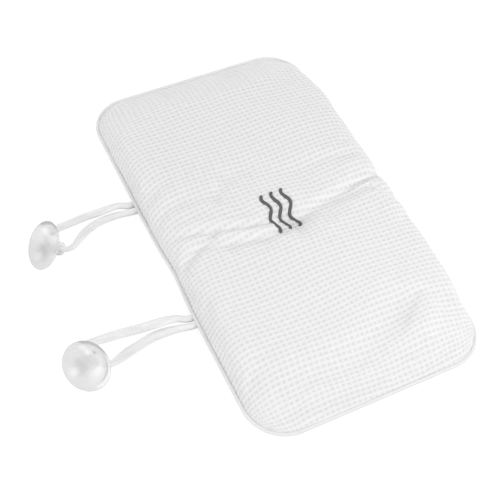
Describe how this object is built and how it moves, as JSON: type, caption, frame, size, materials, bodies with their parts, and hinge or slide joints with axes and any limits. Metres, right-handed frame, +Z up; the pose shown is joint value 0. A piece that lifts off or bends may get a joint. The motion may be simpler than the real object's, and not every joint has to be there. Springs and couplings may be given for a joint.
{
  "type": "bath pillow",
  "caption": "Flat padded waffle-cloth bath pillow with a crease across its middle, piped edge, and clear suction cups hung on cord loops from one long side.",
  "frame": {"origin": "on the surface that the pad lies on, under the middle of the pad at its crease", "axes": "+X across the pad, away from the side with the cord loops; +Y along the pad's length; +Z up out of its front"},
  "size_m": [0.3123, 0.36, 0.0364],
  "materials": {
    "waffle_cloth": "white cotton waffle weave, matt, small square cells",
    "back_cloth": "white plain-woven cloth, matt",
    "padding": "soft foam, off-white, matt, hidden inside",
    "piping_cloth": "white cloth folded round a core, matt",
    "core_cord": "twisted cotton cord, hidden inside",
    "loop_cord": "soft white knitted cord, matt",
    "clear_plastic": "clear soft vinyl, slightly frosted, glossy"
  },
  "bodies": {
    "right_half": {"right_front_panel": "waffle_cloth", "right_back_panel": "back_cloth", "right_foam_pad": "padding", "right_piping": "piping_cloth", "right_piping_core": "core_cord", "right_cord_ends": "loop_cord"},
    "left_half": {"left_front_panel": "waffle_cloth", "left_back_panel": "back_cloth", "left_foam_pad": "padding", "left_piping": "piping_cloth", "left_piping_core": "core_cord", "left_cord_ends": "loop_cord"},
    "right_loop": {"right_cord_loop": "loop_cord"},
    "left_loop": {"left_cord_loop": "loop_cord"},
    "right_cup": {"right_suction_cup": "clear_plastic"},
    "left_cup": {"left_suction_cup": "clear_plastic"}
  },
  "joints": [
    {"name": "pad_fold", "type": "hinge", "parent": "right_half", "child": "left_half", "pos_m": [0, 0, 0.0089], "axis": [-1, 0, 0], "range_deg": [-15, 30]},
    {"name": "right_loop_swing", "type": "hinge", "parent": "right_half", "child": "right_loop", "pos_m": [-0.1054, 0.0639, 0.0057], "axis": [0, 1, 0], "range_deg": [-90, 90]},
    {"name": "left_loop_swing", "type": "hinge", "parent": "left_half", "child": "left_loop", "pos_m": [-0.1054, -0.0581, 0.0057], "axis": [0, 1, 0], "range_deg": [-90, 90]},
    {"name": "right_cup_tilt", "type": "hinge", "parent": "right_loop", "child": "right_cup", "pos_m": [-0.1752, 0.0493, 0.007], "axis": [-0.3772, 0.7713, -0.5126], "range_deg": [-120, 50]},
    {"name": "left_cup_tilt", "type": "hinge", "parent": "left_loop", "child": "left_cup", "pos_m": [-0.1858, -0.0603, 0.0074], "axis": [-0.6428, 0.766, 0], "range_deg": [-120, 50]}
  ]
}
